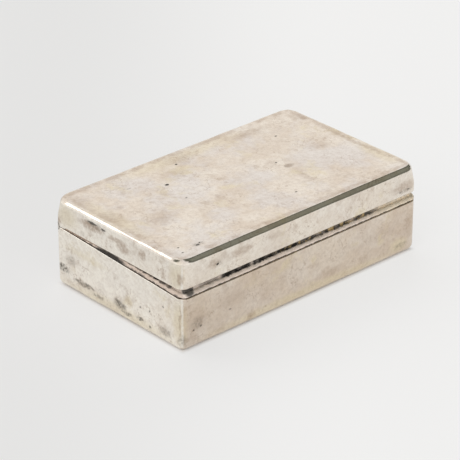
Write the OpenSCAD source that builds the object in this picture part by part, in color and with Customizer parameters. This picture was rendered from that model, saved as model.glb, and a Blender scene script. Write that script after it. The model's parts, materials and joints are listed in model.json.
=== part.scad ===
// Silver stamp box with a hinged lid.
// The lid turns on a five-knuckle book hinge along the rear long side (+Y).
// The front long side faces -Y, the length runs along X, and the box stands on Z = 0.
// All sizes are in millimetres.

/* [Case] */
// Length over the short sides
case_length = 80; // [60:1:110]
// Width over the long sides
case_width = 48; // [36:1:70]
// Height with the lid shut
case_height = 24.4; // [22:0.2:34]
// Radius of the upright corners, seen from above
corner_radius = 2.1; // [1.6:0.1:4]
// Thickness of the silver sheet
sheet = 0.7; // [0.5:0.05:1]
// Radius of the rounded edge round the top of the lid
lid_edge_radius = 1.3; // [0.8:0.1:2]
// Radius of the rounded edge round the bottom of the base
base_edge_radius = 2; // [0.8:0.1:3]

/* [Parting] */
// Height of the hinge axis, where the lid and the base part at the rear
hinge_height = 16.7; // [15.4:0.1:18]
// How far the parting line has dropped when it reaches the front
parting_drop = 2.2; // [1.2:0.1:3]
// Gap between the lid and the base all the way round
parting_gap = 0.2; // [0.1:0.05:0.4]

/* [Lip under the lid] */
// Height of the upright outer edge of the lip
lip_land = 0.4; // [0.2:0.05:0.6]
// Radius of the round back of the lip over that edge
lip_roll_radius = 1.3; // [1:0.1:2]
// How deep the groove over the lip runs in from the face of the box
lip_groove_depth = 0.8; // [0.5:0.05:0.9]
// Radius of the rounded lower edge of the lid wall, over the groove
lid_hem_radius = 0.7; // [0.4:0.05:0.9]
// Thickness of the strip that stands inside the lid wall
lip_strip = 0.5; // [0.3:0.05:0.8]
// Height of the lip and its strip over the parting line
lip_height = 3.5; // [2.8:0.1:5]

/* [Bezel in the base] */
// Thickness of the upstand that the lid closes over
bezel_thickness = 0.5; // [0.3:0.05:0.8]
// How far the upstand rises over the parting line
bezel_rise = 1.5; // [0.8:0.1:2.4]
// How far the bezel reaches down inside the base wall
bezel_depth = 2.6; // [1.5:0.1:4]
// Clearance between the upstand and the lip
bezel_clearance = 0.25; // [0.15:0.05:0.5]

/* [Hinge] */
// Outer radius of the knuckle tube
knuckle_radius = 0.9; // [0.8:0.05:1.3]
// Radius of the hinge pin
pin_radius = 0.45; // [0.3:0.05:0.6]
// Clearance round the pin in the knuckles
pin_clearance = 0.05; // [0.02:0.01:0.1]
// Clearance round the knuckles in the other half's cove
cove_clearance = 0.12; // [0.08:0.01:0.2]
// Gap between one knuckle and the next
knuckle_gap = 0.15; // [0.1:0.05:0.4]
// Widest angle that the lid opens to
open_angle = 100; // [80:1:110]
// Thickness of the bearer strips round the knuckles
bearer_wall = 1; // [0.7:0.1:1.6]
// Length of the plug that closes each end of the pin hole
plug_length = 2; // [1:0.1:4]

/* [Stamp wells] */
// Thickness of the dividers between the wells
divider_thickness = 0.6; // [0.4:0.05:1]
// How far the dividers stop below the front rim
divider_drop = 0.4; // [0.2:0.1:2]
// Thickness of the curved well floors
floor_thickness = 0.5; // [0.4:0.05:0.8]
// How far a well floor climbs from its middle to the front and rear walls
floor_rise = 8; // [4:0.5:9]

/* [Hidden] */

// Clearance of a soldered seam and of the loose seat of a curved floor
seam = 0.02;
// Angle left between the two halves when the lid is fully open
stop_spare = 4;
// Degrees that a rounded edge already leans where it leaves the flat face
lean = 15;
// Number of knuckles, and of wells
knuckle_count = 5;
well_count = 3;
// Longer than anything in the box, for cuts that run right through
far = 2 * (case_length + case_width);

half_gap = parting_gap / 2;
lid_edge = min(lid_edge_radius, corner_radius - 0.05);
base_edge = min(base_edge_radius, corner_radius - 0.05);
hinge_y = case_width / 2 - knuckle_radius;
parting_tilt = atan(parting_drop / (hinge_y + case_width / 2));
// Width of the box along that slope, to a hundredth, so that its sides and corners meet exactly
slope_width = round(100 * case_width / cos(parting_tilt)) / 100;
// Corner radius of the groove under the lid, a touch over the box's so that their ends stay apart
groove_corner = corner_radius + 2 * seam;
front_rim = hinge_height - parting_drop;
skirt_height = hinge_height + half_gap;
face_angle = (open_angle + stop_spare) / 2;
bore_radius = pin_radius + pin_clearance;
cove_radius = knuckle_radius + cove_clearance;
bearer_reach = knuckle_radius + bearer_wall;
knuckle_pitch = case_length / knuckle_count;
lip_inset = sheet + lip_strip;
hem_reach = cos(lean) - sin(lean);
hem_radius = min(lid_hem_radius, (sheet - 0.1) / hem_reach);
bezel_inset = lip_inset + bezel_clearance;
bezel_inner = bezel_inset + bezel_thickness;
// Where the lip and the bezel end at the rear, clear of the bearers as the lid turns
strip_end = hinge_y - bearer_reach * sqrt(2) - bezel_clearance;
well_width = (case_length - 2 * bezel_inner - (well_count - 1) * divider_thickness) / well_count;
divider_top = front_rim - half_gap - divider_drop;
// The pressed corner inside the base pan, which the dividers and floors stay clear of
inner_edge = max(base_edge - sheet, 0.1);
floor_low = sheet + inner_edge + seam;
floor_span = case_width / 2 - sheet - seam;
floor_radius = (floor_span * floor_span + floor_rise * floor_rise) / (2 * floor_rise);

// Sweeps a section once round the box. In the section, X is the inset from the outer face
// and Y is the height.
module around_box(length, width, r = corner_radius) {
    for (side = [0:3]) {
        run = (side % 2 == 0 ? length : width) - 2 * r;
        reach = (side % 2 == 0 ? width : length) / 2;
        rotate([0, 0, 90 * side]) translate([0, -reach, 0])
            rotate([90, 0, 90]) linear_extrude(run, center = true) children();
    }
    for (corner = [0:3]) {
        x = (corner == 0 || corner == 3 ? -1 : 1) * (length / 2 - r);
        y = (corner < 2 ? -1 : 1) * (width / 2 - r);
        translate([x, y, 0]) rotate([0, 0, 180 + 90 * corner])
            rotate_extrude(angle = 90, $fn = 64) intersection() {
                translate([r, 0]) mirror([1, 0]) children();
                translate([0, -far]) square([far, 2 * far]);
            }
    }
}

// A ring that follows the walls between two insets, the full height of the box
module wall_ring(outer, inner, low = 0, high = case_height) {
    around_box(case_length, case_width) translate([outer, low]) square([inner - outer, high - low]);
}

// The plan of the box, drawn in by an inset, as a solid block
module case_block(inset = 0) {
    r = corner_radius - inset;
    x = case_length / 2 - corner_radius;
    y = case_width / 2 - corner_radius;
    translate([-x, -y - r, 0]) cube([2 * x, 2 * (y + r), case_height]);
    translate([-x - r, -y, 0]) cube([2 * (x + r), 2 * y, case_height]);
    for (sx = [-1, 1], sy = [-1, 1])
        translate([sx * x, sy * y, 0]) cylinder(r = r, h = case_height, $fn = 64);
}

// Runs a section drawn in Y and Z along the length of the box
module along_length(run) {
    rotate([90, 0, 90]) linear_extrude(run, center = true) children();
}

// Everything between two heights over the parting line, which falls towards the front
module parting_band(low, high) {
    rise = far * tan(parting_tilt);
    along_length(far) translate([hinge_y, hinge_height])
        polygon([[-far, low - rise], [far, low + rise], [far, high + rise], [-far, high - rise]]);
}

// The lid's share of the box: over the parting line, and over the stop face behind the hinge.
// With side = -1 it is the base's share, under both.
module share(side) {
    rise = far * tan(parting_tilt);
    along_length(far) translate([hinge_y, hinge_height])
        polygon([[0, side * half_gap], [far * cos(face_angle), side * (half_gap + far * sin(face_angle))],
            [-far, side * far], [-far, side * half_gap - rise]]);
}

// A rod on the hinge axis
module hinge_rod(radius, start, stop) {
    translate([start, hinge_y, hinge_height]) rotate([0, 90, 0])
        cylinder(r = radius, h = stop - start, $fn = 48);
}

// The hollow that a half's edges leave for the knuckles. Its own knuckles are soldered in,
// and the other half's turn freely. The end ones run out through the short walls.
module coves(own) {
    for (i = [0:knuckle_count - 1]) {
        fixed = i % 2 == own;
        lap = fixed ? -knuckle_gap / 2 : knuckle_gap / 2;
        start = i == 0 ? -case_length : -case_length / 2 + i * knuckle_pitch - lap;
        stop = i == knuckle_count - 1 ? case_length : -case_length / 2 + (i + 1) * knuckle_pitch + lap;
        hinge_rod(fixed ? knuckle_radius + seam : cove_radius, start, stop);
    }
}

// One length of the knuckle tube. The end ones are filed flush with the corners of the box.
module knuckle(i) {
    start = -case_length / 2 + i * knuckle_pitch + (i == 0 ? 0 : knuckle_gap / 2);
    stop = -case_length / 2 + (i + 1) * knuckle_pitch - (i == knuckle_count - 1 ? 0 : knuckle_gap / 2);
    color([0.82, 0.79, 0.74]) difference() {
        intersection() {
            hinge_rod(knuckle_radius, start, stop);
            case_block();
        }
        hinge_rod(bore_radius, start - 1, stop + 1);
    }
}

// The bearer strip inside the rear wall that carries one half's knuckles
module hinge_bearer(side) {
    color([0.83, 0.7, 0.47]) difference() {
        intersection() {
            along_length(case_length) translate([hinge_y - bearer_reach, hinge_height - bearer_reach])
                square([far, 2 * bearer_reach]);
            case_block(sheet);
            share(side);
        }
        coves(side > 0 ? 1 : 0);
    }
}

// Section of an upper outer edge: all that lies inward of an inset and under it, with a round corner
module edge_section(inset, radius) {
    centre = inset + radius;
    translate([centre, -far]) square([far, far - inset]);
    translate([inset, -far]) square([far, far - centre]);
    translate([centre, -centre]) circle(r = radius, $fn = 64);
}

// A pan pressed from sheet, open downwards, with the outside of its flat at height 0
module pan(edge, depth) {
    x = case_length / 2 - corner_radius;
    y = case_width / 2 - corner_radius;
    around_box(case_length, case_width) intersection() {
        difference() {
            edge_section(0, edge);
            edge_section(sheet, max(edge - sheet, 0.1));
        }
        translate([0, -depth]) square([corner_radius, depth]);
    }
    translate([-x, -y, -sheet]) cube([2 * x, 2 * y, sheet]);
}

// Pressed base with its rounded bottom edge, cut to the sloping parting line
module base_pan() {
    color([0.78, 0.74, 0.68]) difference() {
        intersection() {
            mirror([0, 0, 1]) pan(base_edge, skirt_height);
            share(-1);
        }
        coves(0);
    }
}

// Stepped strip round the front and the short sides: a ledge that fills out the rim,
// and an upstand inside it that the lip closes over
module base_bezel() {
    color([0.85, 0.72, 0.48]) difference() {
        union() {
            intersection() {
                wall_ring(sheet + seam, bezel_inner);
                parting_band(-bezel_depth, -half_gap);
            }
            intersection() {
                wall_ring(bezel_inset, bezel_inner);
                parting_band(-bezel_depth, bezel_rise);
            }
        }
        translate([-far / 2, strip_end, 0]) cube(far);
    }
}

module base_hinge_bearer() {
    hinge_bearer(-1);
}

module hinge_pin() {
    reach = case_length / 2 - plug_length - seam;
    color([0.7, 0.68, 0.65]) hinge_rod(pin_radius, -reach, reach);
}

// Plug that hides one end of the pin, filed flush with the corner of the box
module pin_plug(side) {
    inner = side * (case_length / 2 - plug_length);
    outer = side * case_length / 2;
    color([0.88, 0.86, 0.82]) intersection() {
        hinge_rod(bore_radius - seam, min(inner, outer), max(inner, outer));
        case_block();
    }
}

// Upright plate between two wells, notched under the bezel and the bearer
module divider(side) {
    span = case_width / 2 - sheet - seam;
    low = sheet + seam;
    translate([side * (well_width + divider_thickness) / 2, 0, 0]) color([0.84, 0.71, 0.47]) difference() {
        along_length(divider_thickness)
            polygon([[-span, divider_top], [-span, low + inner_edge], [-span + inner_edge, low],
                [span - inner_edge, low], [span, low + inner_edge], [span, divider_top]]);
        translate([-far / 2, -case_width / 2, front_rim - bezel_depth - seam])
            cube([far, bezel_inner + seam, far]);
        translate([-far / 2, hinge_y - bearer_reach - seam, hinge_height - bearer_reach - seam])
            cube([far, far, far]);
    }
}

// Curved floor of one well, so that a stamp slides up under a fingertip
module stamp_floor(place) {
    pitch = well_width + divider_thickness;
    low = place < 0 ? -case_length : place * pitch - well_width / 2 + seam;
    high = place > 0 ? case_length : place * pitch + well_width / 2 - seam;
    color([0.86, 0.73, 0.49]) intersection() {
        translate([0, 0, floor_low + floor_radius]) rotate([0, 90, 0]) difference() {
            cylinder(r = floor_radius, h = case_length, center = true, $fn = 240);
            cylinder(r = floor_radius - floor_thickness, h = far, center = true, $fn = 240);
        }
        translate([low, -case_width, 0]) cube([high - low, 2 * case_width, floor_radius]);
        case_block(sheet + seam);
    }
}

// Pressed lid with its rounded top edge, and a rounded lower edge where the groove runs under it
module lid_pan() {
    color([0.82, 0.78, 0.73]) difference() {
        intersection() {
            translate([0, 0, case_height]) pan(lid_edge, case_height - skirt_height);
            share(1);
        }
        difference() {
            around_box(case_length, case_width) translate([0, skirt_height]) hem_section();
            translate([-far / 2, strip_end, 0]) cube(far);
        }
        coves(1);
    }
}

// Section of what the rounded lower edge of the lid wall leaves free, with the edge at height 0
module hem_section() {
    centre = hem_radius * cos(lean);
    difference() {
        translate([-hem_radius, -hem_radius]) square(hem_radius + centre);
        translate([centre, centre]) circle(r = hem_radius, $fn = 64);
    }
}

// Section of what the round back of the lip leaves free, up to the top of its strip
module groove_section() {
    centre_y = lip_land - lip_roll_radius * sin(lean);
    difference() {
        translate([-lip_height, centre_y]) square([lip_height + lip_groove_depth, 2 * lip_height]);
        translate([lip_roll_radius * cos(lean), centre_y]) circle(r = lip_roll_radius, $fn = 64);
    }
}

// Moulded strip under the lid wall, with a groove over its round back. It is deepest along
// the front, where a thumb lifts it, and tapers away along the short sides to nothing at the hinge.
module lid_lip() {
    color([0.85, 0.79, 0.7]) difference() {
        intersection() {
            wall_ring(0, lip_inset);
            parting_band(half_gap, lip_height);
        }
        translate([0, hinge_y, hinge_height]) rotate([parting_tilt, 0, 0])
            translate([0, -hinge_y / cos(parting_tilt), half_gap])
                around_box(case_length, slope_width, groove_corner) groove_section();
        wall_ring(-1, sheet + seam, skirt_height - seam, case_height + 1);
        translate([-far / 2, strip_end, 0]) cube(far);
    }
}

module lid_hinge_bearer() {
    hinge_bearer(1);
}

base_pan();
base_bezel();
base_hinge_bearer();
knuckle(0);  // base_knuckle_left
knuckle(2);  // base_knuckle_middle
knuckle(4);  // base_knuckle_right
hinge_pin();
pin_plug(-1);  // pin_plug_left
pin_plug(1);  // pin_plug_right
divider(-1);  // divider_left
divider(1);  // divider_right
stamp_floor(-1);  // stamp_floor_left
stamp_floor(0);  // stamp_floor_middle
stamp_floor(1);  // stamp_floor_right
lid_pan();
lid_lip();
lid_hinge_bearer();
knuckle(1);  // lid_knuckle_left
knuckle(3);  // lid_knuckle_right
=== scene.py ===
# Old silver stamp box with a hinged lid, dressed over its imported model.
import json
import math

import bmesh
import bpy
from mathutils import Matrix, Vector, noise


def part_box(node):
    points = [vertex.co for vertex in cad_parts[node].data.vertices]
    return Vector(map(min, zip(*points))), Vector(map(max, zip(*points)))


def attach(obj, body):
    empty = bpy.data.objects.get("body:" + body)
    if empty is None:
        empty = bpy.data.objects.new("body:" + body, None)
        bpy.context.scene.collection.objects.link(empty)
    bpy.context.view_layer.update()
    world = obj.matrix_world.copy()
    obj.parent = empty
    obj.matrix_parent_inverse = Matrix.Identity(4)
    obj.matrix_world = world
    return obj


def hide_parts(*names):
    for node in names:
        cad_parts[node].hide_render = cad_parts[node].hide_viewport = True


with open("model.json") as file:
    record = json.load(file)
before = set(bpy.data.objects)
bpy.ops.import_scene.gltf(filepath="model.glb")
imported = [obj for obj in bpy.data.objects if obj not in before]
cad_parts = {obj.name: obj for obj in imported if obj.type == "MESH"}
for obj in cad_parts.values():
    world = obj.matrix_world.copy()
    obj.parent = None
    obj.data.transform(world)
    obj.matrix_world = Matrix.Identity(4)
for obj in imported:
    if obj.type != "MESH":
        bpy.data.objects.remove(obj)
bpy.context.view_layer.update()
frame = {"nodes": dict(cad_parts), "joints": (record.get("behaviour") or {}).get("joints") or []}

mm = 0.001
print("frame loaded:", len(frame["nodes"]), "nodes")

# Places that the frame gives, in mm
hinge = next(joint for joint in frame["joints"] if joint["name"] == "lid_hinge")
hingeY, hingeZ = hinge["pos_m"][1] / mm, hinge["pos_m"][2] / mm
lidLow, lidHigh = (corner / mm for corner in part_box("lid_pan"))
halfLength, halfWidth = lidHigh.x, lidHigh.y

# The two shells of the box, in mm and degrees
shellShape = {
    "cornerRadius": 2.1,
    "lidEdgeRadius": 1.3,
    "baseEdgeRadius": 2.0,
    "sheet": 0.7,
    "partingDrop": 2.2,       # how far the parting line falls from the hinge to the front
    "halfGap": 0.1,           # from the parting line to each half
    "stopAngle": 52.0,        # lean of the faces that meet behind the hinge when the lid is open
    "hemReach": 0.5,          # rounding of the lid wall's lower edge, over the groove
    "hemEnd": 20.2,           # Y where that rounding stops, short of the hinge
    "rimSoftening": 0.22,     # worn upper edge of the base
    "topCornerRadius": 4.0,   # of the lid's top, seen from above
    "topCornerReach": 5.5,    # how far down the wall that round fades
    "cornerSteps": 12,
    "edgeSteps": 10,
    "slice": 0.8,             # size of the mesh's cells
}

# Wear of the sheet, in mm
shellWear = {
    "swellSize": 15.0, "swell": 0.05,      # slow waves over whole walls
    "dentSize": 5.0, "dent": 0.012,        # shallow dents
    "fullSize": 8.0, "full": 0.11,         # how round the edges are, from place to place
    "edgeSize": 4.5, "edge": 0.06,        # knocks along the rounded edges only
}

# Coves that the knuckles lie in, in mm
coveShape = {
    "knuckles": 5,
    "ownRadius": 0.92,        # round the knuckles that are soldered to the half
    "freeRadius": 1.02,       # round the other half's knuckles
    "knuckleGap": 0.15,
    "steps": 48,
}


# Cuts a mesh into even cells along one axis
def sliceAlong(bm, axis, low, high, step):
    count = math.ceil((high - low) / step)
    across = Vector((0, 0, 0))
    across[axis] = 1
    for i in range(count + 1):
        place = across * (low + (high - low) * i / count)
        everything = bm.verts[:] + bm.edges[:] + bm.faces[:]
        bmesh.ops.bisect_plane(bm, geom=everything, dist=1e-5, plane_co=place, plane_no=across)


# A box without its open side: upright corners and the closed side's edge are rounded
def roundedBox(low, high, edgeRadius, closedAtTop):
    shape = shellShape
    bm = bmesh.new()
    bmesh.ops.create_cube(bm, size=1)
    bmesh.ops.scale(bm, vec=(2 * halfLength, 2 * halfWidth, high - low), verts=bm.verts)
    bmesh.ops.translate(bm, vec=(0, 0, (low + high) / 2), verts=bm.verts)
    openSide = -1 if closedAtTop else 1
    bmesh.ops.delete(bm, geom=[f for f in bm.faces if f.normal.z * openSide > 0.5], context="FACES")
    upright = [e for e in bm.edges if abs(e.verts[0].co.z - e.verts[1].co.z) > 1]
    bmesh.ops.bevel(bm, geom=upright, offset=shape["cornerRadius"], offset_type="OFFSET",
                    segments=shape["cornerSteps"], profile=0.5, affect="EDGES", material=-1)
    closedZ = high if closedAtTop else low
    rim = [e for e in bm.edges if all(abs(v.co.z - closedZ) < 1e-4 for v in e.verts)]
    bmesh.ops.bevel(bm, geom=rim, offset=edgeRadius, offset_type="OFFSET",
                    segments=shape["edgeSteps"], profile=0.5, affect="EDGES", material=-1)
    return bm


# Moves the sheet in and out along its normals, more along its rounded edges
def wearSheet(bm, seed):
    wear = shellWear
    bm.normal_update()
    shift = Vector((seed, 1.7 * seed, -seed))
    for vert in bm.verts:
        place, normal = vert.co + shift, vert.normal
        rounding = min(1, 3.4 * (1 - max(abs(c) for c in normal)))
        move = wear["swell"] * noise.noise(place / wear["swellSize"])
        move += wear["dent"] * noise.noise(place / wear["dentSize"])
        move += wear["edge"] * rounding * noise.noise(place / wear["edgeSize"])
        fullness = noise.noise(Vector((place.x / wear["fullSize"], place.y / wear["fullSize"], seed)))
        move += wear["full"] * rounding * fullness
        vert.co += (move - (wear["edge"] + wear["full"]) * 0.45 * rounding) * normal


# Gives the lid's four top corners a wider round, seen from above, less and less down the wall
def roundTopCorner(vert, top):
    shape = shellShape
    wide, tight = shape["topCornerRadius"], shape["cornerRadius"]
    x = abs(vert.co.x) - halfLength + wide
    y = abs(vert.co.y) - halfWidth + wide
    if x <= 0 or y <= 0:
        return
    away = math.hypot(x, y)
    long, short = max(x, y) / away, min(x, y) / away
    inner = wide - tight
    if wide * short <= inner * long:
        outline = wide / long          # the ray meets a straight wall
    else:
        middle = inner * (long + short)
        outline = middle + math.sqrt(middle * middle - 2 * inner * inner + tight * tight)
    up = max(0, 1 - (top - vert.co.z) / shape["topCornerReach"])
    shrink = (1 - wide / outline) * up * up * (3 - 2 * up)
    vert.co.x -= math.copysign(x * shrink, vert.co.x)
    vert.co.y -= math.copysign(y * shrink, vert.co.y)


# Solid of revolution on the hinge axis, which leaves the coves when it is taken away
def coveCutter(firstIsOwn, materials):
    cove = coveShape
    pitch = 2 * halfLength / cove["knuckles"]
    outline = [(-2 * halfLength, 0)]
    for i in range(cove["knuckles"]):
        own = (i % 2 == 0) == firstIsOwn
        radius = cove["ownRadius"] if own else cove["freeRadius"]
        lap = -cove["knuckleGap"] / 2 if own else cove["knuckleGap"] / 2
        start = -2 * halfLength if i == 0 else -halfLength + i * pitch - lap
        stop = 2 * halfLength if i == cove["knuckles"] - 1 else -halfLength + (i + 1) * pitch + lap
        outline += [(start, radius), (stop, radius)]
    outline.append((2 * halfLength, 0))
    bm = bmesh.new()
    ring = [bm.verts.new((x, hingeY, hingeZ + radius)) for x, radius in outline]
    edges = [bm.edges.new(pair) for pair in zip(ring, ring[1:])]
    bmesh.ops.spin(bm, geom=ring + edges, cent=(0, hingeY, hingeZ), axis=(1, 0, 0),
                   angle=math.tau, steps=cove["steps"], use_merge=True)
    bmesh.ops.remove_doubles(bm, verts=bm.verts, dist=1e-4)
    bmesh.ops.recalc_face_normals(bm, faces=bm.faces)
    for face in bm.faces:
        face.smooth = True
    mesh = bpy.data.meshes.new("cutter")
    bm.to_mesh(mesh)
    bm.free()
    for material in materials:
        mesh.materials.append(material)
    cutter = bpy.data.objects.new("cutter", mesh)
    bpy.context.scene.collection.objects.link(cutter)
    return cutter


# Takes a closed solid away from a piece, and keeps the result as the piece's mesh
def cutAway(piece, cutter):
    modifier = piece.modifiers.new("cove", "BOOLEAN")
    modifier.object = cutter
    modifier.operation = "DIFFERENCE"
    modifier.solver = "EXACT"
    bpy.context.view_layer.update()
    evaluated = piece.evaluated_get(bpy.context.evaluated_depsgraph_get())
    cut = bpy.data.meshes.new_from_object(evaluated)
    piece.modifiers.clear()
    piece.data = cut
    bpy.data.objects.remove(cutter)


# Cuts a closed solid with a plane, drops what is on the normal's side and closes the cut
def trimSolid(bm, place, normal):
    everything = bm.verts[:] + bm.edges[:] + bm.faces[:]
    cut = bmesh.ops.bisect_plane(bm, geom=everything, dist=1e-5, plane_co=place, plane_no=normal,
                                 clear_outer=True)
    edges = [item for item in cut["geom_cut"] if isinstance(item, bmesh.types.BMEdge)]
    made = bmesh.ops.contextual_create(bm, geom=edges)
    bmesh.ops.triangulate(bm, faces=made["faces"])


# Gives the sheet its thickness, with the gilt side inward
def thickenSheet(bm, low, high):
    shape = shellShape
    bmesh.ops.solidify(bm, geom=bm.faces[:], thickness=shape["sheet"])
    bm.normal_update()
    reach = shape["cornerRadius"]
    for face in bm.faces:
        middle = face.calc_center_median()
        core = Vector((max(-halfLength + reach, min(halfLength - reach, middle.x)),
                       max(-halfWidth + reach, min(halfWidth - reach, middle.y)),
                       max(low + reach, min(high - reach, middle.z))))
        face.material_index = 1 if (middle - core).normalized().dot(face.normal) < -0.3 else 0
        face.smooth = True


# Turns a finished bmesh in mm into an object in metres at the origin
def makePiece(name, bm, materials):
    mesh = bpy.data.meshes.new(name)
    bm.to_mesh(mesh)
    bm.free()
    for material in materials:
        mesh.materials.append(material)
    piece = bpy.data.objects.new(name, mesh)
    bpy.context.scene.collection.objects.link(piece)
    return piece


def finishPiece(piece):
    piece.data.transform(Matrix.Scale(mm, 4))
    piece.data.set_sharp_from_angle(angle=math.radians(38))
    return piece


def closedEdges(bm, test):
    return [e for e in bm.edges if len(e.link_faces) == 2 and test(e)]


# Lid: rounded top edge, walls down to the groove, rounded hem, faces and coves for the hinge
def buildLidShell(materials):
    shape = shellShape
    low, high = lidLow.z, lidHigh.z
    bm = roundedBox(low, high, shape["lidEdgeRadius"], True)
    sliceAlong(bm, 0, -halfLength + shape["cornerRadius"], halfLength - shape["cornerRadius"], shape["slice"])
    sliceAlong(bm, 1, -halfWidth + shape["cornerRadius"], halfWidth - shape["cornerRadius"], shape["slice"])
    sliceAlong(bm, 2, low + 0.9, high - shape["lidEdgeRadius"] - 0.1, shape["slice"])
    for vert in bm.verts:
        roundTopCorner(vert, high)
    wearSheet(bm, 11)
    for vert in bm.verts:
        if vert.is_boundary:
            vert.co.z = low
    thickenSheet(bm, low, high)
    hem = closedEdges(bm, lambda e: all(v.co.z < low + 0.02 and v.co.y < shape["hemEnd"] for v in e.verts)
                      and min(f.normal.z for f in e.link_faces) < -0.9
                      and max(f.normal.dot(Vector((v.x, v.y, 0)).normalized())
                              for f in e.link_faces for v in [e.verts[0].co]) > 0.3)
    bmesh.ops.bevel(bm, geom=hem, offset=shape["hemReach"], offset_type="OFFSET", segments=5,
                    profile=0.5, affect="EDGES", material=-1)
    lean = math.radians(shape["stopAngle"])
    trimSolid(bm, Vector((0, hingeY, hingeZ + shape["halfGap"])), Vector((0, math.sin(lean), -math.cos(lean))))
    piece = makePiece("lid_shell", bm, materials)
    cutAway(piece, coveCutter(False, materials))
    return piece


# Base: rounded bottom edge, walls up to the sloping parting line
def buildBaseShell(materials):
    shape = shellShape
    low, high = 0, hingeZ + 1
    bm = roundedBox(low, high, shape["baseEdgeRadius"], False)
    fall = math.atan(shape["partingDrop"] / (hingeY + halfWidth))
    everything = bm.verts[:] + bm.edges[:] + bm.faces[:]
    bmesh.ops.bisect_plane(bm, geom=everything, dist=1e-5, clear_outer=True,
                           plane_co=(0, hingeY, hingeZ - shape["halfGap"]),
                           plane_no=(0, -math.sin(fall), math.cos(fall)))
    sliceAlong(bm, 0, -halfLength + shape["cornerRadius"], halfLength - shape["cornerRadius"], shape["slice"])
    sliceAlong(bm, 1, -halfWidth + shape["cornerRadius"], halfWidth - shape["cornerRadius"], shape["slice"])
    sliceAlong(bm, 2, low + shape["baseEdgeRadius"] + 0.1, hingeZ - shape["partingDrop"] - 0.6, 1.0)
    rimHeight = {v: v.co.z for v in bm.verts if v.is_boundary}
    wearSheet(bm, 37)
    for vert, z in rimHeight.items():
        vert.co.z = z
    for vert in bm.verts:
        vert.co.z = max(vert.co.z, 0)
    thickenSheet(bm, low, high)
    rim = closedEdges(bm, lambda e: max(f.normal.z for f in e.link_faces) > 0.9
                      and min(v.co.z for v in e.verts) > hingeZ - shape["partingDrop"] - 0.5
                      and max(f.normal.dot(Vector((v.x, v.y, 0)).normalized())
                              for f in e.link_faces for v in [e.verts[0].co]) > 0.3)
    bmesh.ops.bevel(bm, geom=rim, offset=shape["rimSoftening"], offset_type="OFFSET", segments=3,
                    profile=0.5, affect="EDGES", material=-1)
    lean = math.radians(shape["stopAngle"])
    trimSolid(bm, Vector((0, hingeY, hingeZ - shape["halfGap"])), Vector((0, math.sin(lean), math.cos(lean))))
    piece = makePiece("base_shell", bm, materials)
    cutAway(piece, coveCutter(True, materials))
    return piece


# Shading. Every pattern is drawn in mm on Object coordinates

def startMaterial(name):
    material = bpy.data.materials.new(name)
    material.use_nodes = True
    material.node_tree.nodes.clear()
    return material, material.node_tree


# One node, with its settings, its values and its links
def add(tree, kind, sockets=None, **settings):
    made = tree.nodes.new("ShaderNode" + kind)
    for key, value in settings.items():
        setattr(made, key, value)
    for key, value in (sockets or {}).items():
        if isinstance(value, bpy.types.NodeSocket):
            tree.links.new(value, made.inputs[key])
        else:
            made.inputs[key].default_value = value
    return made


def inMillimetres(tree):
    coordinates = add(tree, "TexCoord")
    return add(tree, "VectorMath", {0: coordinates.outputs["Object"], "Scale": 1 / mm},
               operation="SCALE").outputs[0]


# 0 to 1 where a value passes from one level to another
def between(tree, value, low, high):
    return add(tree, "MapRange", {0: value, 1: low, 2: high}, interpolation_type="SMOOTHSTEP").outputs[0]


# Patches of a size in mm, 0 to 1. The seed moves them about
def patches(tree, place, size, seed, low=0.4, high=0.6, detail=3.0):
    made = add(tree, "TexNoise", {"Vector": place, "W": seed, "Scale": 1 / size, "Detail": detail,
                                  "Roughness": 0.6}, noise_dimensions="4D")
    return between(tree, made.outputs[0], low, high)


def calculate(tree, operation, first, second):
    return add(tree, "Math", {0: first, 1: second}, operation=operation, use_clamp=True).outputs[0]


def blendColours(tree, amount, under, over, mode="MIX"):
    return add(tree, "MixRGB", {0: amount, 1: under, 2: over}, blend_type=mode).outputs[0]


# Place nudged about by a fine noise, so that marks have ragged outlines
def raggedPlace(tree, place, size, reach):
    noiseNode = add(tree, "TexNoise", {"Vector": place, "Scale": 1 / size, "Detail": 2.0})
    centred = add(tree, "VectorMath", {0: noiseNode.outputs["Color"], 1: (0.5, 0.5, 0.5)},
                  operation="SUBTRACT").outputs[0]
    moved = add(tree, "VectorMath", {0: centred, "Scale": 2 * reach}, operation="SCALE").outputs[0]
    return add(tree, "VectorMath", {0: place, 1: moved}, operation="ADD").outputs[0]


# Round or oval mark at a place, 1 in its middle
def spot(tree, place, at, size, soft=0.5):
    local = add(tree, "Mapping", {"Vector": place, "Location": at, "Scale": size}, vector_type="TEXTURE")
    far = add(tree, "VectorMath", {0: local.outputs[0]}, operation="LENGTH").outputs["Value"]
    return between(tree, far, 1, 1 - soft)


def marksOf(tree, place, marks):
    total = None
    for mark in marks:
        one = spot(tree, place, mark["at"], mark["size"], mark.get("soft", 0.5))
        one = calculate(tree, "MULTIPLY", one, mark.get("strength", 1.0))
        total = one if total is None else calculate(tree, "MAXIMUM", total, one)
    return total


def partOf(tree, place, axis):
    return add(tree, "SeparateXYZ", {0: place}).outputs[axis]


# Height over the parting line, which rises towards the hinge
def overParting(tree, place):
    fall = shellShape["partingDrop"] / (hingeY + halfWidth)
    level = add(tree, "VectorMath", {0: place, 1: (0, -fall, 1)}, operation="DOT_PRODUCT").outputs["Value"]
    return add(tree, "Math", {0: level, 1: hingeZ - fall * hingeY}, operation="SUBTRACT").outputs[0]


# How far a point lies from the hinge axis
def fromHinge(tree, place):
    local = add(tree, "Mapping", {"Vector": place, "Location": (0, hingeY, hingeZ),
                                  "Scale": (1e6, 1, 1)}, vector_type="TEXTURE")
    return add(tree, "VectorMath", {0: local.outputs[0]}, operation="LENGTH").outputs["Value"]


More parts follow.
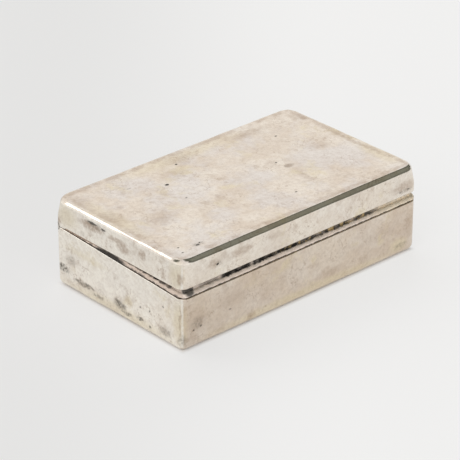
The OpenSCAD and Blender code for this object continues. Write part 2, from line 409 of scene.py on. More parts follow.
def metal(tree, colour, roughness, height, depth):
    bump = add(tree, "Bump", {"Height": height, "Strength": 1.0, "Distance": depth * mm})
    shader = add(tree, "BsdfPrincipled", {"Base Color": colour, "Metallic": 1.0, "Roughness": roughness,
                                          "Normal": bump.outputs[0]})
    add(tree, "OutputMaterial", {0: shader.outputs[0]})


# Old silver: clouded with tarnish, speckled, threaded with fine scratches, with painted shade by face, a
# painted highlight down the upright corners and painted shadow along the seam. Sizes in mm
silverLook = {
    "pale": (0.98, 0.93, 0.84, 1),
    "warm": (0.70, 0.585, 0.47, 1),
    "lilac": (0.75, 0.715, 0.70, 1),
    "yellow": (0.77, 0.67, 0.465, 1),
    "brown": (0.38, 0.27, 0.19, 1),
    "dark": (0.05, 0.045, 0.04, 1),
    "smudge": (0.17, 0.15, 0.12, 1),
    "cornerHighlight": (1.0, 0.98, 0.93, 1),
    "cloudSize": 9.0,
    "cloudShare": 0.34,
    "mottleSize": 0.9,
    "mottleShare": 0.22,
    "brownSize": 4.5,
    "brownShare": 0.34,
    "threadSize": 2.6,
    "threadShare": 0.45,
    "speckSize": 1.15,
    "roughness": (0.13, 0.25),
    "grainSize": 0.6,
    "grainDepth": 0.010,
    "waveSize": 7.0,
    "waveDepth": 0.05,
}


# Small dark specks, each in its own cell, some cells empty
def specks(tree, place, size, share):
    cells = add(tree, "TexVoronoi", {"Vector": place, "Scale": 1 / size})
    lucky = add(tree, "SeparateColor", {0: cells.outputs["Color"]})
    chosen = between(tree, lucky.outputs[0], 1 - share, 1.02 - share)
    radius = add(tree, "MapRange", {0: lucky.outputs[1], 3: 0.08, 4: 0.20}).outputs[0]
    inside = add(tree, "MapRange", {0: cells.outputs["Distance"], 1: radius, 2: 0.04}).outputs[0]
    return calculate(tree, "MULTIPLY", inside, chosen)


# Thin curly lines where a cloud passes its middle level
def threads(tree, place, size, seed, width):
    cloud = add(tree, "TexNoise", {"Vector": place, "W": seed, "Scale": 1 / size, "Detail": 3.0},
                noise_dimensions="4D").outputs[0]
    away = add(tree, "Math", {0: cloud, 1: 0.5}, operation="SUBTRACT").outputs[0]
    away = add(tree, "Math", {0: away}, operation="ABSOLUTE").outputs[0]
    return between(tree, away, width, 0)


# 1 on faces that look sideways, 0 on faces that look up or down
def onWalls(tree):
    facing = add(tree, "SeparateXYZ", {0: add(tree, "NewGeometry").outputs["Normal"]}).outputs["Z"]
    return between(tree, add(tree, "Math", {0: facing}, operation="ABSOLUTE").outputs[0], 0.8, 0.5)


# Distance from the nearest side, seen from above
def fromSides(tree, place):
    apart = []
    for axis, half in (("X", halfLength), ("Y", halfWidth)):
        far = add(tree, "Math", {0: partOf(tree, place, axis)}, operation="ABSOLUTE").outputs[0]
        apart.append(add(tree, "Math", {0: half, 1: far}, operation="SUBTRACT").outputs[0])
    return add(tree, "Math", {0: apart[0], 1: apart[1]}, operation="MINIMUM").outputs[0]


# Dirt and painted gap shadow along the parting line, thicker in places
def seamDirtAndShadow(tree, place, reach):
    height = add(tree, "Math", {0: overParting(tree, place)}, operation="ABSOLUTE").outputs[0]
    left = between(tree, partOf(tree, place, "X"), -halfLength + 1.2, -halfLength + 0.4)
    height = add(tree, "Math", {0: height, 1: add(tree, "MapRange", {0: left, 3: 1.0, 4: 0.6}).outputs[0]},
                 operation="MULTIPLY").outputs[0]
    uneven = add(tree, "MapRange", {0: patches(tree, place, 1.4, 1.0), 3: reach * 0.6, 4: reach * 1.3})
    near = add(tree, "MapRange", {0: height, 1: uneven.outputs[0], 2: reach * 0.4}).outputs[0]
    outer = between(tree, fromSides(tree, place), 0.7, 0.5)
    return calculate(tree, "MULTIPLY", calculate(tree, "MULTIPLY", near, outer), onWalls(tree))


# 1 along the middle of the four upright corners, where a pale highlight is painted
def onCorners(tree, place):
    inset = []
    for axis, half in (("X", halfLength), ("Y", halfWidth)):
        far = add(tree, "Math", {0: partOf(tree, place, axis)}, operation="ABSOLUTE").outputs[0]
        inset.append(add(tree, "Math", {0: half, 1: far}, operation="SUBTRACT").outputs[0])
    apart = add(tree, "Math", {0: inset[0], 1: inset[1]}, operation="SUBTRACT").outputs[0]
    apart = add(tree, "Math", {0: apart}, operation="ABSOLUTE").outputs[0]
    deepest = add(tree, "Math", {0: inset[0], 1: inset[1]}, operation="MAXIMUM").outputs[0]
    return calculate(tree, "MULTIPLY", between(tree, apart, 0.55, 0.2), between(tree, deepest, 1.4, 1.0))


def oldSilver(name, seed, wear):
    look = silverLook
    material, tree = startMaterial(name)
    place = inMillimetres(tree)
    ragged = raggedPlace(tree, place, 1.4, 0.8)
    fine = raggedPlace(tree, place, 0.5, 0.25)
    clouds = patches(tree, ragged, look["cloudSize"], seed, 0.36, 0.64, 5.0)
    # painted shade by face, with random clouds of tone laid over it below
    tone = wear["tone"](tree, place)
    tone = add(tree, "Math", {0: clouds, 1: look["cloudShare"], 2: tone}, operation="MULTIPLY_ADD").outputs[0]
    tone = calculate(tree, "SUBTRACT", tone, look["cloudShare"] / 2)
    colour = blendColours(tree, tone, look["pale"], look["warm"])
    lilac = patches(tree, ragged, 11.0, seed + 1, 0.44, 0.62)
    onTop = between(tree, partOf(tree, place, "Z"), 23.3, 24.1)
    lilac = calculate(tree, "MULTIPLY", lilac, add(tree, "MapRange", {0: onTop, 3: 0.15, 4: 0.5}).outputs[0])
    colour = blendColours(tree, lilac, colour, look["lilac"])
    yellow = calculate(tree, "MAXIMUM", patches(tree, ragged, 8.0, seed + 2, 0.56, 0.7),
                       marksOf(tree, ragged, wear["yellow"]))
    colour = blendColours(tree, calculate(tree, "MULTIPLY", yellow, 0.62), colour, look["yellow"])
    mottle = patches(tree, place, look["mottleSize"], seed + 3, 0.35, 0.7, 5.0)
    colour = blendColours(tree, calculate(tree, "MULTIPLY", mottle, look["mottleShare"]), colour, look["brown"])
    brown = patches(tree, ragged, look["brownSize"], seed + 5, 0.54, 0.72, 5.0)
    colour = blendColours(tree, calculate(tree, "MULTIPLY", brown, look["brownShare"]), colour, look["brown"])
    worn = add(tree, "MapRange", {0: patches(tree, place, 0.8, seed + 6, 0.35, 0.6, 5.0), 3: 0.45, 4: 1.0})
    stain = calculate(tree, "MULTIPLY", marksOf(tree, ragged, wear["stains"]), worn.outputs[0])
    colour = blendColours(tree, stain, colour, look["brown"])
    lines = threads(tree, ragged, look["threadSize"], seed + 7, 0.022)
    lines = calculate(tree, "MULTIPLY", lines, patches(tree, place, 6.0, seed + 8, 0.45, 0.6))
    colour = blendColours(tree, calculate(tree, "MULTIPLY", lines, look["threadShare"]), colour, look["brown"])
    sides = fromSides(tree, ragged)
    band = calculate(tree, "MULTIPLY", between(tree, sides, 3.4, 2.2), between(tree, sides, 1.0, 1.6))
    band = calculate(tree, "MULTIPLY", band, patches(tree, place, 4.0, seed + 9, 0.35, 0.6))
    colour = blendColours(tree, calculate(tree, "MULTIPLY", band, wear["rimTarnish"]), colour, look["brown"])
    # painted highlight: paler along the upright corners
    cornerHighlight = calculate(tree, "MULTIPLY", onCorners(tree, fine),
                     patches(tree, place, 2.5, seed + 12, 0.3, 0.5))
    colour = blendColours(tree, calculate(tree, "MULTIPLY", cornerHighlight, 0.5), colour, look["cornerHighlight"])
    broken = add(tree, "MapRange", {0: patches(tree, place, 0.6, seed + 13, 0.4, 0.58, 5.0), 3: 0.2, 4: 1.0})
    smudge = calculate(tree, "MULTIPLY", marksOf(tree, ragged, wear["smudges"]), broken.outputs[0])
    colour = blendColours(tree, smudge, colour, look["smudge"])
    dots = calculate(tree, "MULTIPLY", specks(tree, fine, look["speckSize"], wear["speckShare"]),
                     patches(tree, place, 9.0, seed + 10, 0.42, 0.58))
    left = between(tree, partOf(tree, place, "X"), -halfLength + 4, -halfLength + 1)
    dots = calculate(tree, "MULTIPLY", dots, add(tree, "MapRange", {0: left, 3: 0.5, 4: 1.0}).outputs[0])
    dark = calculate(tree, "MAXIMUM", calculate(tree, "MULTIPLY", dots, 0.6),
                     marksOf(tree, fine, wear["marks"]))
    # darker within 1.35 mm of the hinge axis, over the coves
    nearHingeDark = between(tree, fromHinge(tree, fine), 1.35, 1.0)
    dark = calculate(tree, "MAXIMUM", dark, calculate(tree, "MULTIPLY", nearHingeDark, 0.8))
    # dirt and painted gap shadow along the seam
    dark = calculate(tree, "MAXIMUM", dark, seamDirtAndShadow(tree, place, wear["seamReach"]))
    colour = blendColours(tree, dark, colour, look["dark"])
    low, high = look["roughness"]
    rough = add(tree, "MapRange", {0: patches(tree, place, 2.2, seed + 11, 0.3, 0.7, 5.0), 3: low, 4: high})
    rough = add(tree, "MapRange", {0: dark, 3: rough.outputs[0], 4: 0.6}).outputs[0]
    grain = add(tree, "TexNoise", {"Vector": place, "Scale": 1 / look["grainSize"], "Detail": 4.0})
    height = add(tree, "Math", {0: grain.outputs[0], 1: dark}, operation="SUBTRACT").outputs[0]
    metal(tree, colour, rough, height, look["grainDepth"])
    return material


# Painted shade by face on the lid: the left wall palest, the front warmer, the top warmest
def lidPaintedFaceShade(tree, place):
    top = between(tree, partOf(tree, place, "Z"), 23.3, 24.1)
    left = between(tree, partOf(tree, place, "X"), -halfLength + 1, -halfLength + 0.2)
    tone = add(tree, "MapRange", {0: left, 3: 0.38, 4: 0.04}).outputs[0]
    return add(tree, "MapRange", {0: top, 3: tone, 4: 0.70}).outputs[0]


# Painted shade by face on the base: the left wall pale, the other walls warm and darker
def basePaintedFaceShade(tree, place):
    left = between(tree, partOf(tree, place, "X"), -halfLength + 1, -halfLength + 0.2)
    return add(tree, "MapRange", {0: left, 3: 0.84, 4: 0.02}).outputs[0]


# Marks on the lid and the base, and their painted shade by face (tone). Stains are brown, marks are near black
lidWearAndShade = {
    "tone": lidPaintedFaceShade,
    "rimTarnish": 0.42,
    "speckShare": 0.28,
    "seamReach": 0.0,
    "marks": [
        {"at": (-15.0, 9.9, 24.4), "size": (0.75, 0.6, 1), "strength": 0.95},
        {"at": (-5.7, 17.1, 24.4), "size": (0.5, 0.45, 1), "strength": 0.8},
        {"at": (24.5, 12.4, 24.4), "size": (0.45, 0.4, 1), "strength": 0.8},
        {"at": (13.7, 0.8, 24.4), "size": (0.4, 0.35, 1), "strength": 0.7},
        {"at": (6.2, -14.5, 24.4), "size": (0.45, 0.4, 1), "strength": 0.6},
        {"at": (-16.2, 1.3, 24.4), "size": (0.5, 0.4, 1), "strength": 0.5},
        {"at": (-30.7, -19.2, 24.4), "size": (0.7, 0.5, 1), "strength": 0.7},
        {"at": (-29.6, -18.6, 24.4), "size": (0.4, 0.3, 1), "strength": 0.7},
        {"at": (-35.1, -17.3, 24.4), "size": (0.4, 0.35, 1), "strength": 0.7},
        {"at": (-36.0, -19.8, 24.4), "size": (0.5, 0.35, 1), "strength": 0.6},
        {"at": (-23.6, 14.6, 24.4), "size": (0.9, 0.3, 1), "strength": 0.4},
        {"at": (-40.0, 9.0, 22.6), "size": (1.5, 2.6, 0.5), "strength": 0.8, "soft": 0.6},
        {"at": (-40.0, 4.8, 22.3), "size": (1.5, 1.1, 0.4), "strength": 0.8, "soft": 0.6},
        {"at": (-28.6, -24.0, 20.4), "size": (0.55, 1.5, 0.45), "strength": 0.85},
        {"at": (33.6, -24.0, 18.3), "size": (0.5, 1.5, 0.3), "strength": 0.5},
        {"at": (36.6, -24.0, 18.5), "size": (0.5, 1.5, 0.3), "strength": 0.5},
    ],
    "smudges": [
        {"at": (15.2, -2.5, 24.4), "size": (1.8, 1.3, 1), "strength": 0.3},
        {"at": (-30.3, -19.0, 24.4), "size": (2.4, 1.1, 1), "strength": 0.5},
        {"at": (-40.0, 7.5, 22.3), "size": (2, 4.5, 1.0), "strength": 0.4},
        {"at": (-40.0, 13.0, 18.2), "size": (2, 1.5, 1.0), "strength": 0.3},
        {"at": (-28.6, -24.0, 20.4), "size": (1.4, 2, 0.9), "strength": 0.4},
        {"at": (35.5, -24.0, 18.4), "size": (3.0, 2, 0.8), "strength": 0.4},
    ],
    "stains": [
        {"at": (15.2, -2.5, 24.4), "size": (1.8, 1.3, 1), "strength": 0.55},
        {"at": (20.4, 18.4, 24.4), "size": (10.0, 3.0, 1), "strength": 0.5, "soft": 0.9},
        {"at": (37.6, 16.4, 24.4), "size": (1.6, 3.0, 1), "strength": 0.55, "soft": 0.8},
        {"at": (-3.7, 19.0, 24.4), "size": (8.0, 3.4, 1), "strength": 0.34, "soft": 0.9},
        {"at": (-36.5, 17.5, 24.4), "size": (3.0, 7.0, 1), "strength": 0.42, "soft": 0.9},
        {"at": (-28.2, -2.6, 24.4), "size": (7.0, 5.5, 1), "strength": 0.42, "soft": 0.9},
        {"at": (-36.4, 4.9, 24.4), "size": (3.4, 6.0, 1), "strength": 0.44, "soft": 0.9},
        {"at": (29.2, 0.5, 24.4), "size": (4.5, 3.0, 1), "strength": 0.36, "soft": 0.9},
        {"at": (-10.0, 13.0, 24.4), "size": (6.0, 3.6, 1), "strength": 0.3, "soft": 0.9},
        {"at": (37.2, -3.0, 24.4), "size": (1.1, 15.0, 1), "strength": 0.45, "soft": 0.8},
        {"at": (-40.0, 9.5, 21.6), "size": (2, 6.5, 1.6), "strength": 0.8, "soft": 0.7},
        {"at": (-40.0, -0.5, 21.4), "size": (2, 5.5, 1.1), "strength": 0.6, "soft": 0.7},
        {"at": (-40.0, -2.6, 20.2), "size": (2, 3.0, 2.0), "strength": 0.66, "soft": 0.6},
        {"at": (-40.0, -9.7, 21.3), "size": (2, 1.7, 2.0), "strength": 0.66, "soft": 0.6},
        {"at": (-40.0, -17.3, 19.2), "size": (2, 1.0, 2.2), "strength": 0.55, "soft": 0.6},
        {"at": (-39.6, -23.0, 19.6), "size": (2, 1.1, 2.2), "strength": 0.65, "soft": 0.6},
        {"at": (-40.0, 22.5, 18.2), "size": (2, 1.2, 1.5), "strength": 0.7, "soft": 0.6},
        {"at": (-21.0, -24.0, 21.2), "size": (5.0, 2, 1.8), "strength": 0.6, "soft": 0.8},
        {"at": (-30.0, -24.0, 21.0), "size": (2.8, 2, 1.8), "strength": 0.55, "soft": 0.8},
        {"at": (-9.9, -24.0, 21.4), "size": (4.0, 2, 1.2), "strength": 0.3, "soft": 0.8},
        {"at": (34.5, -24.0, 19.5), "size": (5.5, 2, 2.2), "strength": 0.55, "soft": 0.8},
    ],
    "yellow": [
        {"at": (-2.0, 20.0, 24.4), "size": (30, 4.0, 1), "strength": 0.8, "soft": 0.8},
        {"at": (-37.0, 4.0, 24.4), "size": (4.0, 18, 1), "strength": 0.8, "soft": 0.8},
        {"at": (37.0, -12.0, 24.4), "size": (3.5, 12, 1), "strength": 0.8, "soft": 0.8},
        {"at": (-40.0, 19.0, 20.5), "size": (2, 6, 4.5), "strength": 0.8, "soft": 0.8},
        {"at": (-39.5, -21.5, 20.0), "size": (2, 3.5, 6), "strength": 0.8, "soft": 0.8},
    ],
}
baseWearAndShade = {
    "tone": basePaintedFaceShade,
    "rimTarnish": 0.0,
    "speckShare": 0.5,
    "seamReach": 0.08,
    "marks": [
        {"at": (-40.0, -8.6, 6.5), "size": (1.5, 0.4, 0.35), "strength": 0.6},
        {"at": (-40.0, -12.1, 6.8), "size": (1.5, 0.4, 0.35), "strength": 0.6},
        {"at": (-40.0, -12.2, 2.5), "size": (1.5, 0.6, 0.4), "strength": 0.6},
        {"at": (-40.0, -17.1, 10.1), "size": (1.5, 0.4, 0.35), "strength": 0.6},
        {"at": (-34.0, -24.0, 5.6), "size": (0.5, 1.5, 0.35), "strength": 0.6},
        {"at": (-36.4, -24.0, 5.2), "size": (0.45, 1.5, 0.35), "strength": 0.6},
        {"at": (-24.6, -24.0, 6.6), "size": (0.5, 1.5, 0.35), "strength": 0.4},
    ],
    "smudges": [
        {"at": (-40.0, 20.8, 5.6), "size": (2, 2.6, 1.5), "strength": 1.0},
        {"at": (-40.0, 18.0, 8.8), "size": (2, 2.6, 2.0), "strength": 0.4, "soft": 0.8},
        {"at": (-40.0, 12.8, 4.1), "size": (2, 4.6, 0.9), "strength": 0.85},
        {"at": (-40.0, 7.2, 2.8), "size": (2, 2.6, 0.7), "strength": 0.6},
        {"at": (-40.0, -0.9, 4.0), "size": (2, 2.9, 1.5), "strength": 0.9},
        {"at": (-40.0, -3.4, 2.6), "size": (2, 2.4, 0.7), "strength": 0.7},
        {"at": (-40.0, -8.6, 3.3), "size": (2, 1.9, 0.7), "strength": 0.9},
        {"at": (-40.0, -17.9, 3.6), "size": (2, 3.6, 1.8), "strength": 0.5, "soft": 0.8},
        {"at": (-35.2, -24.0, 6.8), "size": (2.6, 2, 2.2), "strength": 0.5, "soft": 0.8},
        {"at": (-39.5, -23.5, 3.0), "size": (2.0, 1.5, 2.5), "strength": 0.5, "soft": 0.8},
        {"at": (34.4, -24.0, 3.2), "size": (3.4, 2, 1.1), "strength": 0.45, "soft": 0.8},
    ],
    "stains": [
        {"at": (-40.0, 17.8, 8.6), "size": (2, 2.6, 2.4), "strength": 0.34, "soft": 0.9},
        {"at": (-40.0, 12.0, 4.0), "size": (2, 6.5, 1.2), "strength": 0.5, "soft": 0.8},
        {"at": (-40.0, -0.5, 4.6), "size": (2, 3.4, 2.8), "strength": 0.4, "soft": 0.9},
        {"at": (-40.0, -17.7, 4.0), "size": (2, 4.0, 2.4), "strength": 0.42, "soft": 0.9},
        {"at": (-39.8, -22.9, 8.0), "size": (1.2, 0.35, 6.5), "strength": 0.55, "soft": 0.6},
        {"at": (-34.0, -24.0, 7.0), "size": (4.5, 2, 3.6), "strength": 0.3, "soft": 0.9},
        {"at": (-24.0, -24.0, 9.0), "size": (8.0, 2, 3.0), "strength": 0.2, "soft": 0.9},
        {"at": (8.8, -24.0, 4.6), "size": (6.0, 2, 2.0), "strength": 0.34, "soft": 0.9},
        {"at": (26.0, -24.0, 9.0), "size": (10.0, 2, 3.0), "strength": 0.22, "soft": 0.9},
        {"at": (37.0, -24.0, 8.0), "size": (2.5, 2, 6.0), "strength": 0.3, "soft": 0.9},
    ],
    "yellow": [
        {"at": (0.0, -24.0, 1.5), "size": (45, 2, 2.6), "strength": 1.0, "soft": 0.7},
        {"at": (33.5, -24.0, 3.4), "size": (4.5, 2, 3.0), "strength": 1.0, "soft": 0.7},
        {"at": (-40.0, 0.0, 1.6), "size": (2, 30, 3.4), "strength": 0.9, "soft": 0.8},
        {"at": (-39.5, -22.5, 7.5), "size": (2.5, 3.0, 9.0), "strength": 0.9, "soft": 0.8},
        {"at": (-40.0, 12.0, 12.0), "size": (2, 12.0, 1.5), "strength": 0.6, "soft": 0.8},
    ],
}


# Gilding: yellow, satin, rubbed pale where it is touched
giltLook = {"deep": (0.83, 0.60, 0.28, 1), "rubbed": (0.84, 0.73, 0.52, 1), "dark": (0.25, 0.16, 0.08, 1)}


def gilding(name, seed):
    material, tree = startMaterial(name)
    place = inMillimetres(tree)
    colour = blendColours(tree, patches(tree, place, 6.0, seed, 0.4, 0.7), giltLook["deep"], giltLook["rubbed"])
    mottle = calculate(tree, "MULTIPLY", patches(tree, place, 1.3, seed + 2, 0.45, 0.75, 4.0), 0.25)
    colour = blendColours(tree, mottle, colour, giltLook["dark"])
    rough = add(tree, "MapRange", {0: patches(tree, place, 2.5, seed + 4, 0.3, 0.7, 4.0), 3: 0.26, 4: 0.42})
    grain = add(tree, "TexNoise", {"Vector": place, "Scale": 1 / 0.5, "Detail": 3.0})
    metal(tree, colour, rough.outputs[0], grain.outputs[0], 0.012)
    return material


# The lip under the lid wall: rubbed satin, with dirt, painted shadow and old gilding in the groove over it
lipLook = {
    "face": (1.0, 0.89, 0.80, 1),
    "cream": (1.0, 0.89, 0.74, 1),
    "brown": (0.45, 0.33, 0.24, 1),
    "gold": (0.55, 0.41, 0.20, 1),
    "dark": (0.05, 0.045, 0.04, 1),
    "roughness": (0.64, 0.76),
    "grooveFrom": (1.02, 1.32),   # height over the parting line
    "grooveShadeAndDirt": 0.25,           # where nothing else is said
    "seamReach": 0.42,
    # dirt and painted shadow in the groove, from place to place
    "grooveShadeAndDirtMarks": [
        {"at": (-37.4, -24.0, 16.4), "size": (2.0, 3, 4), "strength": 0.9, "soft": 0.3},
        {"at": (-31.0, -24.0, 16.4), "size": (4.0, 3, 4), "strength": 0.5, "soft": 0.3},
        {"at": (-22.0, -24.0, 16.4), "size": (6.0, 3, 4), "strength": 1.0, "soft": 0.3},
        {"at": (-13.0, -24.0, 16.4), "size": (4.5, 3, 4), "strength": 1.0, "soft": 0.3},
        {"at": (-5.0, -24.0, 16.4), "size": (6.5, 3, 4), "strength": 1.0, "soft": 0.3},
        {"at": (8.0, -24.0, 16.4), "size": (11.0, 3, 4), "strength": 0.95, "soft": 0.3},
        {"at": (21.0, -24.0, 16.4), "size": (8.0, 3, 4), "strength": 0.9, "soft": 0.7},
        {"at": (-40.0, -9.0, 16.0), "size": (3, 12, 4), "strength": 1.0, "soft": 0.4},
        {"at": (-40.0, 6.0, 16.0), "size": (3, 9, 4), "strength": 1.0, "soft": 0.4},
    ],
    "smears": [                   # grime that lies over the face too
        {"at": (-37.2, -24.0, 15.8), "size": (1.7, 2, 1.4), "strength": 0.75, "soft": 0.5},
        {"at": (-40.0, 3.0, 15.9), "size": (2, 7.5, 1.3), "strength": 0.95, "soft": 0.4},
        {"at": (-40.0, -9.5, 16.6), "size": (2, 0.7, 0.6), "strength": 0.8},
        {"at": (-40.0, -14.5, 16.6), "size": (2, 0.8, 0.6), "strength": 0.8},
        {"at": (-40.0, -19.0, 16.3), "size": (2, 1.0, 0.7), "strength": 0.8},
    ],
}


def lipSilver(name, seed):
    look = lipLook
    material, tree = startMaterial(name)
    place = inMillimetres(tree)
    ragged = raggedPlace(tree, place, 0.9, 0.3)
    colour = blendColours(tree, calculate(tree, "MULTIPLY", patches(tree, place, 2.0, seed, 0.5, 0.8), 0.4),
                          look["face"], look["brown"])
    left = between(tree, partOf(tree, place, "X"), -halfLength + 1.2, -halfLength + 0.4)
    colour = blendColours(tree, calculate(tree, "MULTIPLY", left, 0.35), colour, look["brown"])
    right = between(tree, partOf(tree, place, "X"), 20, 29)
    colour = blendColours(tree, right, colour, look["cream"])
    # darker in the groove under the lid wall: dirt and painted shadow
    groove = between(tree, overParting(tree, ragged), *look["grooveFrom"])
    amount = calculate(tree, "MAXIMUM", marksOf(tree, ragged, look["grooveShadeAndDirtMarks"]), look["grooveShadeAndDirt"])
    broken = add(tree, "MapRange", {0: patches(tree, ragged, 1.3, seed + 4, 0.35, 0.55), 3: 0.75, 4: 1.0})
    shadedAndDirty = calculate(tree, "MULTIPLY", calculate(tree, "MULTIPLY", groove, amount), broken.outputs[0])
    shadedAndDirty = calculate(tree, "MAXIMUM", shadedAndDirty, marksOf(tree, ragged, look["smears"]))
    # dirt and painted gap shadow along the seam
    shadedAndDirty = calculate(tree, "MAXIMUM", shadedAndDirty, seamDirtAndShadow(tree, place, look["seamReach"]))
    gilt = calculate(tree, "MULTIPLY", between(tree, partOf(tree, ragged, "X"), -16, 4),
                     patches(tree, place, 1.1, seed + 6, 0.46, 0.6))
    gilt = calculate(tree, "MULTIPLY", gilt, groove)
    colour = blendColours(tree, shadedAndDirty, colour, blendColours(tree, gilt, look["dark"], look["gold"]))
    low, high = look["roughness"]
    rough = add(tree, "MapRange", {0: patches(tree, place, 1.5, seed + 2), 3: low, 4: high})
    grain = add(tree, "TexNoise", {"Vector": place, "Scale": 1 / 0.4, "Detail": 2.0})
    metal(tree, colour, rough.outputs[0], grain.outputs[0], 0.01)
    return material


def hingeSilver(name, seed):
    material, tree = startMaterial(name)
    place = inMillimetres(tree)
    colour = blendColours(tree, patches(tree, place, 1.5, seed, 0.4, 0.7), (0.84, 0.80, 0.75, 1),
                          (0.62, 0.55, 0.46, 1))
    rough = add(tree, "MapRange", {0: patches(tree, place, 1.0, seed + 2), 3: 0.24, 4: 0.4})
    grain = add(tree, "TexNoise", {"Vector": place, "Scale": 1 / 0.4, "Detail": 2.0})
    metal(tree, colour, rough.outputs[0], grain.outputs[0], 0.01)
    return material


lidSilver = oldSilver("lid_silver", 2.0, lidWearAndShade)
baseSilver = oldSilver("base_silver", 6.0, baseWearAndShade)
innerGilt = gilding("inner_gilt", 4.0)
lipFinish = lipSilver("lip_silver", 8.0)
hingeFinish = hingeSilver("hinge_silver", 3.0)
print("materials made")

lidShell = finishPiece(buildLidShell([lidSilver, innerGilt]))
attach(lidShell, "lid")
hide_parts("lid_pan")
baseShell = finishPiece(buildBaseShell([baseSilver, innerGilt]))
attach(baseShell, "base")
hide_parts("base_pan")
print("shells built:", len(lidShell.data.polygons) + len(baseShell.data.polygons), "faces")

for name, node in frame["nodes"].items():
    if "knuckle" in name or "pin" in name:
        finish = hingeFinish
    elif name == "lid_lip":
        finish = lipFinish
    else:
        finish = innerGilt
    for slot in node.material_slots:
        slot.material = finish
print("finishes on the carried-over nodes")

# Camera, in the photo's place
cameraLook = {
    "azimuth": -42.268,       # degrees, 0 looks along +Y
    "elevation": 27.478,
    "target": (-5.106, -2.523, 13.0),   # mm
    "distance": 618.76,       # mm
    "lens": 193.2,            # mm on a 36 mm sensor
}


def placeCamera(look):
    azimuth, elevation = math.radians(look["azimuth"]), math.radians(look["elevation"])
    back = Vector((math.sin(azimuth) * math.cos(elevation), -math.cos(azimuth) * math.cos(elevation),
                   math.sin(elevation)))
    camera = bpy.data.objects.new("camera", bpy.data.cameras.new("camera"))
    bpy.context.scene.collection.objects.link(camera)
    camera.data.sensor_width = 36
    camera.data.lens = look["lens"]
    camera.data.clip_start, camera.data.clip_end = 0.01, 20
    camera.location = (Vector(look["target"]) + look["distance"] * back) * mm
    camera.rotation_mode = "QUATERNION"
    camera.rotation_quaternion = (-back).to_track_quat("-Z", "Y")
    bpy.context.scene.camera = camera


placeCamera(cameraLook)
print("camera placed")

# Pale studio: a white room with a dark stretch to the front right, and a softbox at the rear left
studioLook = {
    "room": (1.0, 1.0, 1.0, 1),
    "shade": (0.10, 0.11, 0.085, 1),
    "shadeCore": (0.26, 0.27, 0.23, 1),
    "coreEdge": (0.84, 0.97),
    "shadeTowards": (0.66, -0.35, 0.66),
    "shadeEdge": (0.66, 0.74),
    "spotTowards": (-0.55, 0.2, 0.8),   # small dark thing that the near corner mirrors
    "spotEdge": (0.955, 0.975),
    "floor": 1.0,
    # painted shade: the floor's far left is darker
    "floorLeft": 0.85,
    "floorGlow": 0.65,        # share of the floor's brightness that shadows don't touch
    "contact": (-2.0, 0.4),   # mm from the box's side where the floor stops glowing: a painted contact shadow at the box's foot
    "lampTowards": (-0.461, 0.656, 0.597),
    "lampDistance": 0.8,      # m
    "lampSize": 0.14,         # m
    "lampPower": 0.13,        # W
}


def seenRays(tree):
    path = add(tree, "LightPath")
    seen = calculate(tree, "MAXIMUM", path.outputs["Is Camera Ray"], path.outputs["Is Glossy Ray"])
    return calculate(tree, "MAXIMUM", seen, path.outputs["Is Transmission Ray"])


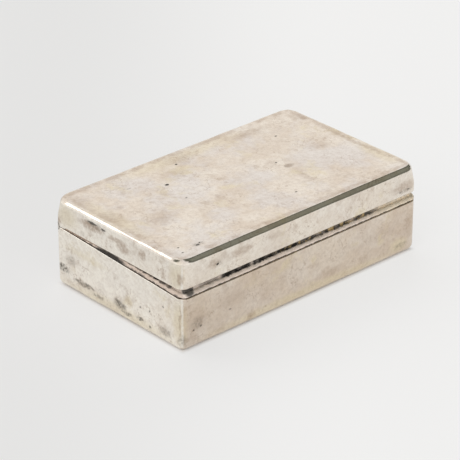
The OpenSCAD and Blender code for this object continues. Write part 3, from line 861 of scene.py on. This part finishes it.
def buildRoom(look):
    world = bpy.data.worlds.new("room")
    bpy.context.scene.world = world
    world.use_nodes = True
    tree = world.node_tree
    tree.nodes.clear()
    coordinates = add(tree, "TexCoord")
    along = add(tree, "VectorMath", {0: coordinates.outputs["Generated"],
                                     1: Vector(look["shadeTowards"]).normalized()},
                operation="DOT_PRODUCT").outputs["Value"]
    shade = between(tree, along, *look["shadeEdge"])
    folds = add(tree, "TexNoise", {"Vector": coordinates.outputs["Generated"], "Scale": 7.0, "Detail": 2.0})
    core = add(tree, "Math", {0: folds.outputs[0], 1: 0.5, 2: along}, operation="MULTIPLY_ADD").outputs[0]
    core = between(tree, add(tree, "Math", {0: core, 1: 0.25}, operation="SUBTRACT").outputs[0],
                   *look["coreEdge"])
    dark = blendColours(tree, core, look["shade"], look["shadeCore"])
    along = add(tree, "VectorMath", {0: coordinates.outputs["Generated"],
                                     1: Vector(look["spotTowards"]).normalized()},
                operation="DOT_PRODUCT").outputs["Value"]
    shade = calculate(tree, "MAXIMUM", shade, between(tree, along, *look["spotEdge"]))
    colour = blendColours(tree, shade, look["room"], dark)
    background = add(tree, "Background", {"Color": colour, "Strength": 1.0})
    add(tree, "OutputWorld", {0: background.outputs[0]})


def buildFloor(look):
    bpy.ops.mesh.primitive_plane_add(size=6)
    floor = bpy.context.object
    floor.name = "floor"
    material, tree = startMaterial("paper")
    place = add(tree, "TexCoord").outputs["Object"]
    # painted shade: the floor is darker on its far left
    across = add(tree, "VectorMath", {0: place, 1: (0.74, -0.673, 0)}, operation="DOT_PRODUCT").outputs["Value"]
    level = between(tree, across, -0.06, 0.03)
    left, plain = ((look[key],) * 3 + (1,) for key in ("floorLeft", "floor"))
    colour = blendColours(tree, level, left, plain)
    diffuse = add(tree, "BsdfDiffuse", {"Color": (0.96, 0.94, 0.92, 1)})
    glow = add(tree, "Emission", {"Color": colour, "Strength": 1.0})
    outside = add(tree, "Math", {0: fromSides(tree, add(tree, "VectorMath", {0: place, "Scale": 1 / mm},
                                                    operation="SCALE").outputs[0]), 1: -1.0},
                  operation="MULTIPLY").outputs[0]
    share = calculate(tree, "MULTIPLY", seenRays(tree), look["floorGlow"])
    # painted contact shadow: no glow on the floor under and just beside the box
    share = calculate(tree, "MULTIPLY", share, between(tree, outside, *look["contact"]))
    mixed = add(tree, "MixShader", {0: share, 1: diffuse.outputs[0], 2: glow.outputs[0]})
    add(tree, "OutputMaterial", {0: mixed.outputs[0]})
    floor.data.materials.append(material)


def placeLamp(look):
    lamp = bpy.data.objects.new("softbox", bpy.data.lights.new("softbox", "AREA"))
    bpy.context.scene.collection.objects.link(lamp)
    lamp.data.size = look["lampSize"]
    lamp.data.energy = look["lampPower"]
    lamp.location = Vector(look["lampTowards"]) * look["lampDistance"]
    lamp.rotation_mode = "QUATERNION"
    lamp.rotation_quaternion = (-lamp.location).to_track_quat("-Z", "Y")


buildRoom(studioLook)
buildFloor(studioLook)
placeLamp(studioLook)
bpy.context.scene.view_settings.view_transform = "Standard"
print("studio lit")
